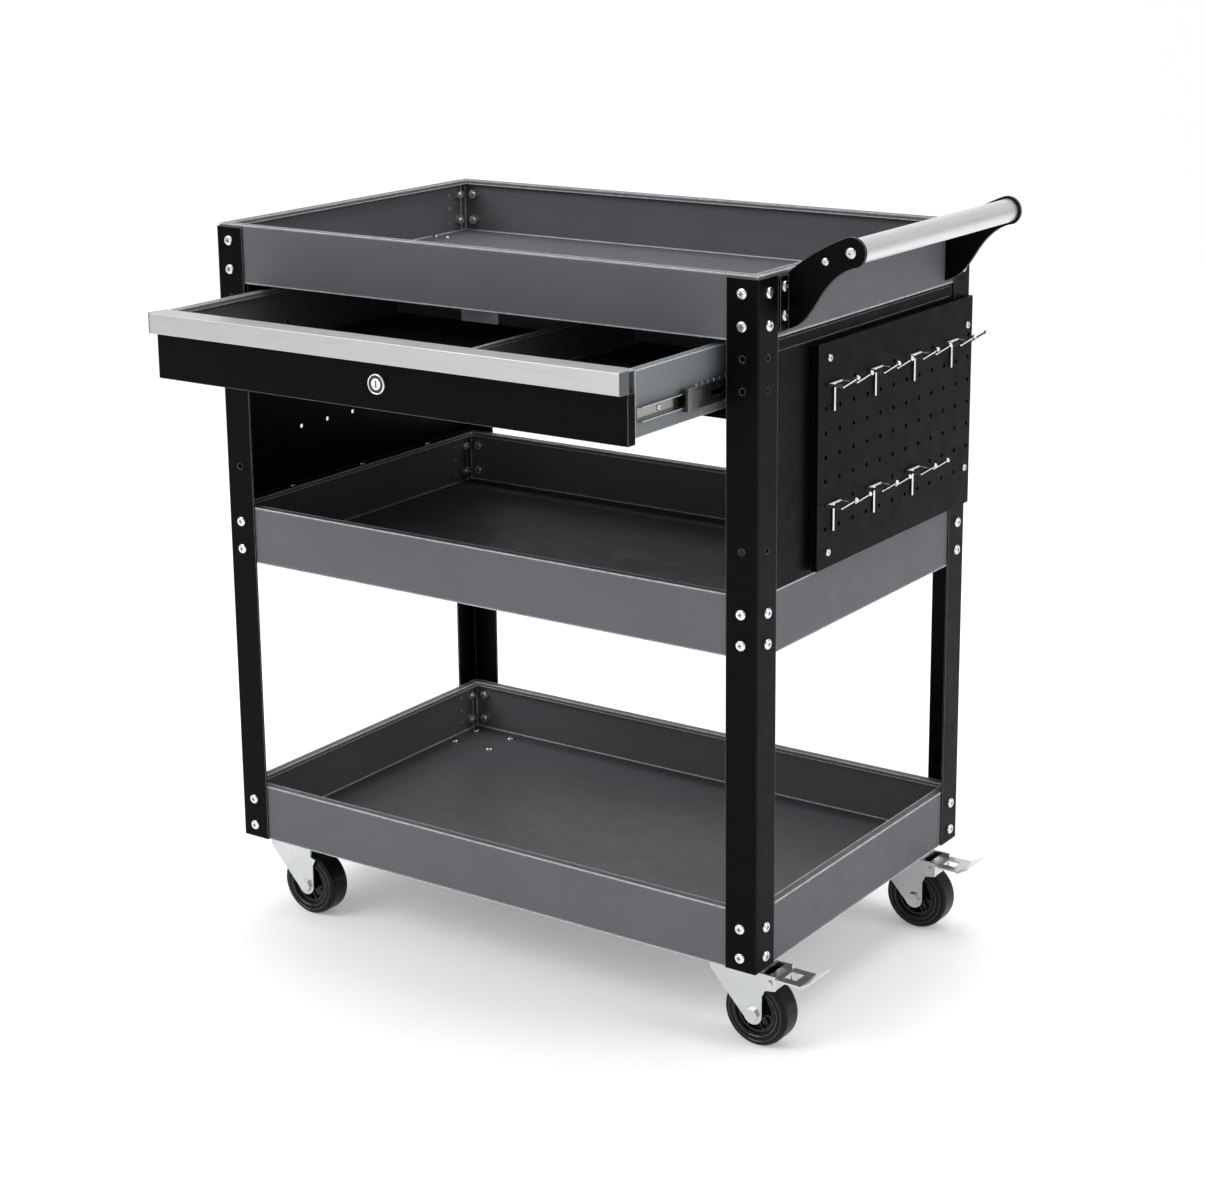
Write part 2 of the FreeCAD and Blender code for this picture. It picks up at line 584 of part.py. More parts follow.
def drawer_front():
    """Folded front: face, side and lower returns, and tabs against the box."""
    x0, x1 = DRAWER_X0, DRAWER_X1
    z0, z1 = DRAWER_BOTTOM_Z - FRONT_DROP, DRAWER_TOP_Z - PULL_H
    shell = box(x0, x1, 0, FRONT_DEPTH, z0, z1)
    room = box(x0 + SHEET, x1 - SHEET, SHEET, FRONT_DEPTH, z0 + SHEET, z1)
    tabs = [box(x - 10, x + 10, 0, FRONT_DEPTH, z - 6, z + 6).cut(
            box(x - 10, x + 10, SHEET, FRONT_DEPTH - SHEET, z - 6 + SHEET, z + 6))
            for x, z in front_screws()]
    body = join([shell.cut(room)] + tabs)
    lock_hole = rod(WIDTH / 2, -1, LOCK_Z, LOCK_BODY_D + 2 * HOLE_CLEAR, SHEET + 2, "y")
    screws = [rod(x, FRONT_DEPTH - SHEET - 1, z, SCREW_D, SHEET + 2, "y")
              for x, z in front_screws()]
    return body.cut([lock_hole] + screws)


def drawer_pull():
    """Pull strip: front band, top leaf back over the box and a lower return."""
    x0, x1 = DRAWER_X0 + PULL_T, DRAWER_X1 - PULL_T
    z0, z1 = DRAWER_TOP_Z - PULL_H, DRAWER_TOP_Z
    outline = [(-PULL_DEPTH, z0), (0, z0), (0, z0 + PULL_T), (PULL_T - PULL_DEPTH, z0 + PULL_T),
               (PULL_T - PULL_DEPTH, z1 - PULL_T), (FRONT_DEPTH + SHEET, z1 - PULL_T),
               (FRONT_DEPTH + SHEET, z1), (-PULL_DEPTH, z1)]
    strip = profile(outline, x1 - x0, "x")
    strip.translate(V(x0, 0, 0))
    nose = [e for e in strip.Edges if abs(e.CenterOfMass.y + PULL_DEPTH) < 0.01
            and e.Length > x1 - x0 - 1]
    return strip.makeFillet(PULL_T * 0.6, nose)


def pull_caps():
    x = DRAWER_X0
    z0, z1 = DRAWER_TOP_Z - PULL_H, DRAWER_TOP_Z
    cap = box(x, x + PULL_T, -PULL_DEPTH, FRONT_DEPTH * 0.2, z0, z1)
    return Part.makeCompound([cap, mirror_x(cap)])


def drawer_divider():
    """Front-to-back divider with a foot and a folded top edge."""
    y0, y1 = FRONT_DEPTH + SHEET, FRONT_DEPTH + DRAWER_DEPTH - SHEET
    z0 = DRAWER_BOTTOM_Z + SHEET
    web = box(DIVIDER_X, DIVIDER_X + SHEET, y0, y1, z0, z0 + DIVIDER_H)
    foot = box(DIVIDER_X, DIVIDER_X + RIM, y0, y1, z0, z0 + SHEET)
    fold = box(DIVIDER_X - SHEET, DIVIDER_X + 2 * SHEET, y0, y1, z0 + DIVIDER_H - 4,
               z0 + DIVIDER_H)
    return join([web, foot, fold])


def channel(x_web, x_tip, half_height, y0, length):
    """C channel along Y with its web at x_web and its flanges reaching x_tip."""
    left, right = min(x_web, x_tip), max(x_web, x_tip)
    body = box(left, right, y0, y0 + length, SLIDE_Z - half_height, SLIDE_Z + half_height)
    if x_web < x_tip:
        room = (left + SLIDE_METAL, right)
    else:
        room = (left, right - SLIDE_METAL)
    inside = half_height - SLIDE_METAL
    return body.cut(box(room[0], room[1], y0, y0 + length, SLIDE_Z - inside, SLIDE_Z + inside))


def slide_screws(y_first, y_last, count):
    return [y_first + (y_last - y_first) * k / (count - 1) for k in range(count)]


def slide_outer():
    """Cabinet member of the left slide."""
    body = channel(SLIDE_FACE, SLIDE_FACE + SLIDE_T - 2.5, SLIDE_H / 2, SLIDE_START, SLIDE_LEN)
    holes = [rod(SLIDE_FACE - 1, y, SLIDE_Z, SCREW_D, SLIDE_METAL + 2, "x")
             for y in hanger_screw_places()]
    return body.cut(holes)


def slide_middle():
    """Intermediate member: a narrower channel nested in the cabinet member."""
    half = SLIDE_H / 2 - SLIDE_METAL - SLIDE_PLAY
    x0 = SLIDE_FACE + 3.4
    body = channel(x0, SLIDE_FACE + SLIDE_T - 1.4, half, SLIDE_START, SLIDE_LEN - 12)
    slots = [box(x0 - 1, x0 + 2, y, y + 30, SLIDE_Z - 3, SLIDE_Z + 3)
             for y in slide_screws(SLIDE_START + 40, SLIDE_START + SLIDE_LEN - 90, 4)]
    return body.cut(slots)


def slide_bumpers():
    """Black plastic end stops on the front of the intermediate member."""
    half = SLIDE_H / 2 - SLIDE_METAL - SLIDE_PLAY
    x0 = SLIDE_FACE + 3.4
    y0, y1 = SLIDE_START - 3, SLIDE_START
    cap = box(x0, SLIDE_FACE + SLIDE_T - 4.2, y0, y1, SLIDE_Z - half, SLIDE_Z + half)
    lane = half - SLIDE_METAL - SLIDE_PLAY / 2
    return cap.cut(box(x0 + 1.8, SLIDE_FACE + SLIDE_T, y0, y1, SLIDE_Z - lane, SLIDE_Z + lane))


def slide_inner():
    """Drawer member of the left slide, screwed to the drawer side."""
    half = SLIDE_H / 2 - 2 * SLIDE_METAL - 2 * SLIDE_PLAY - 1.0
    x_web = SLIDE_FACE + SLIDE_T
    body = channel(x_web, x_web - 6.5, half, SLIDE_START, SLIDE_LEN - 16)
    holes = [rod(x_web - SLIDE_METAL - 1, y, SLIDE_Z, SCREW_D, SLIDE_METAL + 2, "x")
             for y in member_screw_places()]
    return body.cut(holes)


def hanger_screw_places():
    return slide_screws(SLIDE_START + 30, SLIDE_START + SLIDE_LEN - 30, 3)


def member_screw_places():
    return slide_screws(SLIDE_START + 36, SLIDE_START + SLIDE_LEN - 56, 3)


def slide_hanger():
    """Angle that hangs the left slide from the top tray floor."""
    y0, y1 = POST_T + 4, DEPTH - POST_T - SHEET - 2
    x1 = SLIDE_FACE
    flange_x = POST_T + PANEL_TOP_FLANGE + 0.5
    web = box(x1 - SHEET, x1, y0, y1, SLIDE_Z - SLIDE_H * 0.6, TOP_TRAY_Z)
    flange = box(flange_x, x1, y0, y1, TOP_TRAY_Z - SHEET, TOP_TRAY_Z)
    holes = [rod(x1 - SHEET - 1, y, SLIDE_Z, SCREW_D, SHEET + 2, "x")
             for y in hanger_screw_places()]
    holes += [rod(x, y, TOP_TRAY_Z - SHEET - 1, SCREW_D, SHEET + 2, "z")
              for x, y in floor_screw_places()[3:]]
    return join([web, flange]).cut(holes)


def hanger_screws():
    """Screws from inside each cabinet member out through its hanger."""
    screw = button_bolt(SCREW_D, SCREW_HEAD_D - 1, 1.4, SLIDE_METAL + SHEET + 3)
    left = [placed(screw, SLIDE_FACE + SLIDE_METAL, y, SLIDE_Z, "-x")
            for y in hanger_screw_places()]
    return left + [mirror_x(solid) for solid in left]


def drawer_screws():
    """Low-head screws of the drawer members and the two that hold the front."""
    low = button_bolt(SCREW_D, SCREW_HEAD_D - 1.5, 1.4, SLIDE_METAL + SHEET + 1)
    solids = []
    for y in member_screw_places():
        solid = placed(low, DRAWER_X0 - SLIDE_METAL, y, SLIDE_Z, "+x")
        solids += [solid, mirror_x(solid)]
    screw = button_bolt(SCREW_D, SCREW_HEAD_D, SCREW_HEAD_H, 2 * SHEET + 1)
    for x, z in front_screws():
        solids.append(placed(screw, x, FRONT_DEPTH + SHEET, z, "-y"))
    return Part.makeCompound(solids)


# ---- lock ---------------------------------------------------------------------------
def lock_rear():
    """Y of the rear end of the lock barrel, with the drawer shut."""
    return FRONT_DEPTH + SHEET + 9.0


def lock_barrel():
    head = rod(WIDTH / 2, -LOCK_HEAD_H, LOCK_Z, LOCK_HEAD_D, LOCK_HEAD_H, "y")
    front = [e for e in head.Edges if abs(e.CenterOfMass.y + LOCK_HEAD_H) < 0.01
             and e.Length > LOCK_HEAD_D]
    head = head.makeFillet(LOCK_HEAD_H * 0.45, front)
    body = rod(WIDTH / 2, 0, LOCK_Z, LOCK_BODY_D, lock_rear(), "y")
    bore = rod(WIDTH / 2, -LOCK_HEAD_H - 1, LOCK_Z, LOCK_PLUG_D + 2 * FIT,
               lock_rear() + LOCK_HEAD_H + 2, "y")
    return head.fuse(body).cut(bore)


def lock_nut():
    ring = nut(LOCK_BODY_D, LOCK_BODY_D + 5, 4.0)
    return placed(ring, WIDTH / 2, FRONT_DEPTH + SHEET, LOCK_Z, "+y")


def lock_plug():
    """Turning core with a key slot in front and a square tail for the cam."""
    start = -LOCK_HEAD_H + 0.2
    core = rod(WIDTH / 2, start, LOCK_Z, LOCK_PLUG_D, lock_rear() - start + 0.3, "y")
    tail_y = lock_rear() + 0.3
    tail = box(WIDTH / 2 - 3, WIDTH / 2 + 3, tail_y, tail_y + CAM_T + 1.5, LOCK_Z - 3, LOCK_Z + 3)
    slot = box(WIDTH / 2 - 0.8, WIDTH / 2 + 0.8, start - 1, start + 7, LOCK_Z - 3.6, LOCK_Z + 3.6)
    return join([core, tail]).cut(slot)


def lock_cam():
    """Cam plate, lying across the drawer while the lock is open."""
    y = lock_rear() + 0.3
    x = WIDTH / 2
    arm = box(x - CAM_REACH + CAM_W / 2, x, y, y + CAM_T, LOCK_Z - CAM_W / 2, LOCK_Z + CAM_W / 2)
    ends = [rod(x, y, LOCK_Z, CAM_W + 2, CAM_T, "y"),
            rod(x - CAM_REACH + CAM_W / 2, y, LOCK_Z, CAM_W, CAM_T, "y")]
    return join([arm] + ends).cut(box(x - 3, x + 3, y, y + CAM_T, LOCK_Z - 3, LOCK_Z + 3))


def cam_screw():
    y = lock_rear() + 0.3 + CAM_T + 1.5
    head = rod(WIDTH / 2, y, LOCK_Z, 9.0, 2.0, "y")
    cross = box(WIDTH / 2 - 3, WIDTH / 2 + 3, y + 1.2, y + 2, LOCK_Z - 0.5, LOCK_Z + 0.5)
    return head.cut(cross)


def strike_back():
    """Rear face of the strike plate, just in front of the shut cam."""
    return lock_rear() + 0.3 - STRIKE_GAP


def strike_screws():
    return [(WIDTH / 2 + side, strike_back() + 7) for side in (-14, 14)]


def lock_strike():
    y = strike_back()
    z = TOP_TRAY_Z
    plate = box(WIDTH / 2 - 24, WIDTH / 2 + 24, y - 2, y, z - STRIKE_DROP, z)
    leaf = box(WIDTH / 2 - 24, WIDTH / 2 + 24, y - 2, y + 14, z - SHEET, z)
    holes = [rod(x, sy, z - SHEET - 1, SCREW_D, SHEET + 2, "z") for x, sy in strike_screws()]
    return join([plate, leaf]).cut(holes)


# ---- casters ------------------------------------------------------------------------
def kingpins():
    return four_corners(CASTER_IN_X, CASTER_IN_Y)


def plate_bolts():
    return [(x + sx * PLATE_HOLES_X / 2, y + sy * PLATE_HOLES_Y / 2)
            for x, y in kingpins() for sx in (-1, 1) for sy in (-1, 1)]


def caster_plate(x, y):
    """Top plate with the fixed half of the swivel race below it."""
    plate = box(x - PLATE_X / 2, x + PLATE_X / 2, y - PLATE_Y / 2, y + PLATE_Y / 2, -PLATE_T, 0)
    upright = [e for e in plate.Edges if abs(e.Length - PLATE_T) < 0.01]
    plate = plate.makeFillet(6, upright)
    depth = FORK_TOP - FORK_GAP - PLATE_T
    race = Part.makeCone(RACE_D / 2 - 4, RACE_D / 2, depth, V(x, y, -PLATE_T - depth))
    holes = [rod(bx, by, -PLATE_T - 1, BOLT_D + 2 * HOLE_CLEAR, PLATE_T + 2, "z")
             for bx, by in plate_bolts()
             if abs(bx - x) < PLATE_X / 2 and abs(by - y) < PLATE_Y / 2]
    holes.append(rod(x, y, -FORK_TOP, KINGPIN_D, FORK_TOP, "z"))
    return join([plate, race]).cut(holes)


def kingpin(x, y):
    """Rivet that carries the fork on its lower head."""
    low = -FORK_TOP - FORK_T - FORK_GAP
    pin = rod(x, y, low, KINGPIN_D, -low, "z")
    head = Part.makeCone(KINGPIN_D * 0.55, KINGPIN_D * 0.85, 3.5, V(x, y, low - 3.5))
    return pin.fuse(head)


def caster_bolts():
    bolt = button_bolt(BOLT_D, BOLT_HEAD_D, BOLT_HEAD_H, SHEET + PLATE_T + 4.5)
    low_nut = nut(BOLT_D, NUT_AF, 4.0)
    solids = []
    for x, y in plate_bolts():
        solids.append(placed(bolt, x, y, SHEET, "-z"))
        solids.append(placed(low_nut, x, y, -PLATE_T, "-z"))
    return Part.makeCompound(solids)


def fork_leg(with_brake):
    """Side plate of the fork in (X from the kingpin, Z) with its rounded axle end."""
    top = -FORK_TOP
    arm = PEDAL_PIVOT_X + 7 if with_brake else TRAIL + 8
    arm_low = top - 16 if with_brake else top - 12
    boss = 11.0
    outline = [(-28, top), (arm, top), (arm, arm_low), (TRAIL + boss + 4, arm_low - 2),
               (TRAIL + boss, arm_low - 10), (TRAIL + boss, AXLE_Z),
               (TRAIL, AXLE_Z), (TRAIL - boss * 0.9, AXLE_Z - boss * 0.42), (-28, top - 8)]
    leg = profile(outline, FORK_T, "y")
    return leg.fuse(rod(TRAIL, 0, AXLE_Z, 2 * boss, FORK_T, "y"))


def fork(x, y, with_brake):
    """Swivel fork: crown with the moving race, and two side plates."""
    inner = HUB_W / 2 + FORK_GAP
    crown = box(-28, TRAIL + 8, -inner, inner, -FORK_TOP - FORK_T, -FORK_TOP)
    legs = []
    for side in (-inner - FORK_T, inner):
        leg = fork_leg(with_brake)
        leg.translate(V(0, side, 0))
        legs.append(leg)
    body = join([crown] + legs)
    bores = [rod(0, 0, -FORK_TOP - FORK_T - 1, KINGPIN_D + 2 * FIT, FORK_T + 2, "z"),
             rod(TRAIL, -inner - FORK_T - 1, AXLE_Z, AXLE_D, HUB_W + 2 * FORK_T + 4, "y")]
    if with_brake:
        bores.append(rod(PEDAL_PIVOT_X, -inner - FORK_T - 1, -PEDAL_PIVOT_Z, PEDAL_PIN_D,
                         HUB_W + 2 * FORK_T + 4, "y"))
    body = body.cut(bores)
    body.translate(V(x, y, 0))
    return body


def axle(x, y, with_brake):
    """Axle bolt and nut, with the pedal pin on a braked caster."""
    outer = HUB_W / 2 + FORK_GAP + FORK_T
    shank = Part.makeCylinder(AXLE_D / 2, 2 * outer + 6)
    head = hexagon(13, 3.5)
    head.translate(V(0, 0, -3.5))
    bolt = placed(shank.fuse(head), x + TRAIL, y - outer, AXLE_Z, "+y")
    solids = [bolt, placed(nut(AXLE_D, 13, 5.0), x + TRAIL, y + outer, AXLE_Z, "+y")]
    if with_brake:
        pin = rod(x + PEDAL_PIVOT_X, y - outer - 1, -PEDAL_PIVOT_Z, PEDAL_PIN_D, 2 * outer + 2, "y")
        heads = [rod(x + PEDAL_PIVOT_X, y - outer - 1.8, -PEDAL_PIVOT_Z, 7, 1.8, "y"),
                 rod(x + PEDAL_PIVOT_X, y + outer, -PEDAL_PIVOT_Z, 7, 1.8, "y")]
        solids.append(join([pin] + heads))
    return Part.makeCompound(solids)


def tyre(x, y):
    """Tread ring with rounded shoulders."""
    ring = rod(x + TRAIL, y - WHEEL_W / 2, AXLE_Z, WHEEL_D, WHEEL_W, "y")
    rims = [e for e in ring.Edges if e.Length > WHEEL_D]
    ring = ring.makeFillet(5.0, rims)
    return ring.cut(rod(x + TRAIL, y - WHEEL_W / 2 - 1, AXLE_Z, HUB_D, WHEEL_W + 2, "y"))


def hub(x, y):
    """Wheel centre: rim band, web and a boss that runs on the axle."""
    cx = x + TRAIL
    band = rod(cx, y - WHEEL_W / 2 + 2, AXLE_Z, HUB_D, WHEEL_W - 4, "y")
    for start in (y - WHEEL_W / 2 + 1, y + 5):
        band = band.cut(rod(cx, start, AXLE_Z, HUB_D - 7, WHEEL_W / 2 - 6, "y"))
    boss = rod(cx, y - HUB_W / 2, AXLE_Z, 18, HUB_W, "y")
    bore = rod(cx, y - HUB_W / 2 - 1, AXLE_Z, AXLE_D + 2 * FIT, HUB_W + 2, "y")
    return join([band, boss]).cut(bore)


def pedal(x, y):
    """Brake pedal: windowed plate, raised toe, two ears and a shoe over the tyre."""
    px, pz = PEDAL_PIVOT_X, -PEDAL_PIVOT_Z
    half = PEDAL_W / 2
    top = -FORK_TOP - 3.0
    ear_out = HUB_W / 2
    toe_x = px + PEDAL_REACH
    neck = box(px - 4, px + 9, -ear_out, ear_out, top - PEDAL_T, top)
    plate = box(px + 9, toe_x, -half, half, top - PEDAL_T, top)
    window = box(px + 12, px + 26, -8, 8, top - PEDAL_T - 1, top + 1)
    tip_x, tip_z = toe_x + PEDAL_TOE, top + PEDAL_TOE_RISE
    toe = profile([(toe_x - 1, top - PEDAL_T), (tip_x, tip_z - PEDAL_T), (tip_x, tip_z),
                   (toe_x - 1, top)], 2 * (half + 4), "y")
    toe.translate(V(0, -half - 4, 0))
    ears = []
    for side in (-ear_out, ear_out - PEDAL_T + 0.3):
        ear = box(px - 4, px + 6, side, side + PEDAL_T - 0.3, pz - 5, top)
        ears.append(ear)
    shoe = box(px + 3, px + 6, -ear_out + 1, ear_out - 1, pz - SHOE_DROP, top)
    body = join([neck, plate, toe, shoe] + ears)
    bore = rod(px, -ear_out - 1, pz, PEDAL_PIN_D + 2 * FIT, 2 * ear_out + 2, "y")
    body = body.cut([window, bore])
    body.translate(V(x, y, 0))
    return body


# ---- assembly -----------------------------------------------------------------------
def drawer_parts():
    parts = {"drawer_box": drawer_box(), "drawer_front": drawer_front(),
             "drawer_pull": drawer_pull(), "drawer_pull_caps": pull_caps(),
             "drawer_divider": drawer_divider(), "drawer_screws": drawer_screws(),
             "lock_barrel": lock_barrel(), "lock_nut": lock_nut(), "lock_plug": lock_plug(),
             "lock_cam": Part.makeCompound([lock_cam(), cam_screw()])}
    inner = slide_inner()
    parts["slide_inner_members"] = Part.makeCompound([inner, mirror_x(inner)])
    for shape in parts.values():
        shape.translate(V(0, -DRAWER_OPEN, 0))
    return parts


def middle_members():
    """Intermediate slide members, which travel half as far as the drawer."""
    left, stop = slide_middle(), slide_bumpers()
    parts = {"slide_middle_left": left, "slide_middle_right": mirror_x(left),
             "slide_stop_left": stop, "slide_stop_right": mirror_x(stop)}
    for shape in parts.values():
        shape.translate(V(0, -DRAWER_OPEN / 2, 0))
    return parts


def caster_parts():
    parts = {"caster_bolts": caster_bolts(),
             "caster_plates": Part.makeCompound([caster_plate(x, y) for x, y in kingpins()]),
             "caster_kingpins": Part.makeCompound([kingpin(x, y) for x, y in kingpins()])}
    names = ("front_left", "front_right", "rear_left", "rear_right")
    for name, (x, y) in zip(names, kingpins()):
        braked = name.endswith("right")
        parts["caster_fork_" + name] = fork(x, y, braked)
        parts["caster_axle_" + name] = axle(x, y, braked)
        parts["wheel_tyre_" + name] = tyre(x, y)
        parts["wheel_hub_" + name] = hub(x, y)
        if braked:
            parts["brake_pedal_" + name] = pedal(x, y)
    return parts


def fixed_parts():
    parts = posts()
    parts["top_tray"] = top_tray()
    parts["middle_tray"] = middle_tray()
    parts["bottom_tray"] = bottom_tray()
    parts["side_panel_left"] = side_panel()
    parts["side_panel_right"] = right_panel()
    parts["rear_panel"] = rear_panel()
    parts["frame_bolts"], parts["frame_nuts"] = frame_bolts()
    parts["panel_screws"] = panel_screws()
    parts["pegboard"] = pegboard()
    parts["pegboard_fixings"] = pegboard_fixings()
    parts["peg_hooks"] = hooks()
    front = bracket()
    parts["handle_bracket_front"] = front
    parts["handle_bracket_rear"] = mirror_y(front)
    parts["handle_tube"] = handle_tube()
    parts["handle_plugs"] = handle_plugs()
    parts["handle_bolts"] = handle_bolts()
    hanger, outer = slide_hanger(), slide_outer()
    parts["slide_hangers"] = Part.makeCompound([hanger, mirror_x(hanger)])
    parts["slide_outer_members"] = Part.makeCompound([outer, mirror_x(outer)])
    parts["lock_strike"] = lock_strike()
    return parts


def main():
    os.makedirs("parts", exist_ok=True)
    parts = fixed_parts()
    parts.update(drawer_parts())
    parts.update(middle_members())
    parts.update(caster_parts())
    for name, shape in parts.items():
        shape.translate(-ORIGIN)
        shape.exportStep("parts/" + name + ".step")
    print(len(parts), "nodes")


main()
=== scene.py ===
"""Looks for the rolling tool cart: finishes, small metal and rubber details, light and camera."""
import json
import math
import random

import bmesh
import bpy
from mathutils import Matrix, Vector


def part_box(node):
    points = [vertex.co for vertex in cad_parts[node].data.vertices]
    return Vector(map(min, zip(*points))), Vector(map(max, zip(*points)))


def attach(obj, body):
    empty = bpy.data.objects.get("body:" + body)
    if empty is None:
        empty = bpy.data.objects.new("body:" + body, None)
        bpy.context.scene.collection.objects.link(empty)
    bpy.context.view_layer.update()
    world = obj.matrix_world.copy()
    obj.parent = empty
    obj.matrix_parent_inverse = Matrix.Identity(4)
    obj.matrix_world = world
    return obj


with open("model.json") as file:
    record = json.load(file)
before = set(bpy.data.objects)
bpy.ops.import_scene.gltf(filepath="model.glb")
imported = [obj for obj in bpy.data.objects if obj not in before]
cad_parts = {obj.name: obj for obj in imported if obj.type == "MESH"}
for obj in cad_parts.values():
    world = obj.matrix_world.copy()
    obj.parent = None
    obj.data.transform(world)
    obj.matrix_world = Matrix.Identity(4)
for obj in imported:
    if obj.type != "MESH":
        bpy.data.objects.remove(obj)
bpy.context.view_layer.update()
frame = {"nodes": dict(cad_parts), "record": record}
nodes = frame["nodes"]
MM = 0.001
FULL_TURN = 2 * math.pi
CORNERS = ("front_left", "front_right", "rear_left", "rear_right")
X, Y, Z = 0, 1, 2


# ---- material building ----------------------------------------------------------------
# Sockets of Blender's colour mix, which have the same name for every data type.
MIX_FIRST, MIX_SECOND, MIX_RESULT = 6, 7, 2
# How far the rounded and the flat normal agree on a flat and on an edge that gets the full
# painted highlight.
FLAT_AGREES, EDGE_AGREES = 0.995, 0.88
NOISE_MIDDLE = (0.3, 0.7)


def shade(colour, factor):
    return tuple(c * factor for c in colour)


class Finish:
    """A principled material and short calls to build its node tree."""

    def __init__(self, name, colour, roughness, metallic=0.0):
        self.material = bpy.data.materials.new(name)
        self.material.use_nodes = True
        self.tree = self.material.node_tree
        self.shader = self.tree.nodes["Principled BSDF"]
        self.shader.inputs["Base Color"].default_value = (*colour, 1.0)
        self.shader.inputs["Roughness"].default_value = roughness
        self.shader.inputs["Metallic"].default_value = metallic
        self.coords = self.tree.nodes.new("ShaderNodeTexCoord").outputs["Object"]

    def add(self, kind, **values):
        node = self.tree.nodes.new(kind)
        for key, value in values.items():
            setattr(node, key, value)
        return node

    def link(self, source, target):
        self.tree.links.new(source, target)

    def set(self, socket, value):
        self.link(value, self.shader.inputs[socket])

    def noise(self, scale, detail=3.0, stretch=(1.0, 1.0, 1.0), roughness=0.5):
        """Noise in the object's own coordinates, stretched along an axis for brushed metal."""
        mapping = self.add("ShaderNodeMapping")
        mapping.inputs["Scale"].default_value = stretch
        self.link(self.coords, mapping.inputs["Vector"])
        noise = self.add("ShaderNodeTexNoise")
        noise.inputs["Scale"].default_value = scale
        noise.inputs["Detail"].default_value = detail
        noise.inputs["Roughness"].default_value = roughness
        self.link(mapping.outputs["Vector"], noise.inputs["Vector"])
        return noise.outputs["Fac"]

    def remap(self, value, source, target=(0.0, 1.0)):
        """Map the source range of a value to the target range, and clamp it there."""
        node = self.add("ShaderNodeMapRange")
        node.inputs["From Min"].default_value, node.inputs["From Max"].default_value = source
        node.inputs["To Min"].default_value, node.inputs["To Max"].default_value = target
        self.link(value, node.inputs["Value"])
        return node.outputs["Result"]

    def mix(self, factor, first, second):
        """Blend of two colours; each is a colour tuple or an output socket."""
        node = self.add("ShaderNodeMix", data_type="RGBA")
        self.link(factor, node.inputs["Factor"])
        for value, socket in ((first, node.inputs[MIX_FIRST]), (second, node.inputs[MIX_SECOND])):
            if isinstance(value, tuple):
                socket.default_value = (*value, 1.0)
            else:
                self.link(value, socket)
        return node.outputs[MIX_RESULT]

    def multiply(self, first, second):
        """Product of a socket and a second socket or a number."""
        node = self.add("ShaderNodeMath", operation="MULTIPLY")
        self.link(first, node.inputs[0])
        if isinstance(second, float):
            node.inputs[1].default_value = second
        else:
            self.link(second, node.inputs[1])
        return node.outputs[0]

    def edge_mask(self, radius):
        """1 on edges, where a paler colour is painted as a highlight, 0 on flats."""
        rounded = self.add("ShaderNodeBevel", samples=4)
        rounded.inputs["Radius"].default_value = radius
        flat = self.add("ShaderNodeNewGeometry")
        dot = self.add("ShaderNodeVectorMath", operation="DOT_PRODUCT")
        self.link(rounded.outputs["Normal"], dot.inputs[0])
        self.link(flat.outputs["Normal"], dot.inputs[1])
        return self.remap(dot.outputs["Value"], (FLAT_AGREES, EDGE_AGREES))

    def roughen(self, pattern, low, high):
        """Roughness that follows the middle range of a noise pattern."""
        self.set("Roughness", self.remap(pattern, NOISE_MIDDLE, (low, high)))

    def bump(self, height, strength, distance=0.2 * MM):
        node = self.add("ShaderNodeBump")
        node.inputs["Strength"].default_value = strength
        node.inputs["Distance"].default_value = distance
        self.link(height, node.inputs["Height"])
        self.set("Normal", node.outputs["Normal"])


# ---- kinds of finish ------------------------------------------------------------------
def powder_coat(name, colour, edge, roughness=0.42, gloss=0.3, edge_radius=1.8 * MM):
    """Satin powder coat: fine orange peel, faint cloudiness and paler edges, a painted highlight
    broken into patches like wear.
    """
    finish = Finish(name, colour, roughness)
    finish.shader.inputs["Specular IOR Level"].default_value = gloss
    cloud = finish.remap(finish.noise(scale=9.0, detail=4.0), (0.35, 0.65))
    base = finish.mix(cloud, shade(colour, 0.965), shade(colour, 1.035))
    patches = finish.remap(finish.noise(scale=140.0, detail=2.0), (0.30, 0.55), (0.65, 1.0))
    # Paler edges: painted highlight, in patches that also stand for worn paint.
    edge_highlight_and_wear = finish.multiply(finish.multiply(finish.edge_mask(edge_radius), patches), 0.9)
    finish.set("Base Color", finish.mix(edge_highlight_and_wear, base, edge))
    finish.roughen(finish.noise(scale=45.0), roughness - 0.05, roughness + 0.07)
    finish.bump(finish.noise(scale=1500.0, detail=2.0), strength=0.2)
    return finish.material


def zinc_plate(name, colour, roughness):
    """Zinc or plain steel: cloudy reflection, paler edges as a painted highlight and faint
    rolling marks.
    """
    finish = Finish(name, colour, roughness, metallic=1.0)
    cloud = finish.noise(scale=34.0, detail=4.0, roughness=0.55)
    base = finish.mix(finish.remap(cloud, NOISE_MIDDLE), shade(colour, 0.90), colour)
    # Paler edges: a painted highlight.
    finish.set("Base Color", finish.mix(finish.edge_mask(0.6 * MM), base, BRIGHT_EDGE))
    finish.roughen(cloud, roughness - 0.05, roughness + 0.05)
    finish.bump(finish.noise(scale=420.0), strength=0.12)
    return finish.material


def brushed(name, colour, roughness, along):
    """Brushed aluminium with the grain along one axis."""
    finish = Finish(name, colour, roughness, metallic=0.85)
    stretch = [260.0, 260.0, 260.0]
    stretch[along] = 3.0
    grain = finish.noise(scale=6.0, detail=4.0, stretch=tuple(stretch), roughness=0.65)
    streaks = finish.remap(grain, NOISE_MIDDLE)
    finish.set("Base Color", finish.mix(streaks, shade(colour, 0.86), colour))
    finish.roughen(grain, roughness - 0.08, roughness + 0.1)
    finish.bump(grain, strength=0.08)
    return finish.material


def polished(name, colour):
    """Chrome with faint smears."""
    finish = Finish(name, colour, roughness=0.1, metallic=1.0)
    finish.roughen(finish.noise(scale=160.0), 0.06, 0.2)
    return finish.material


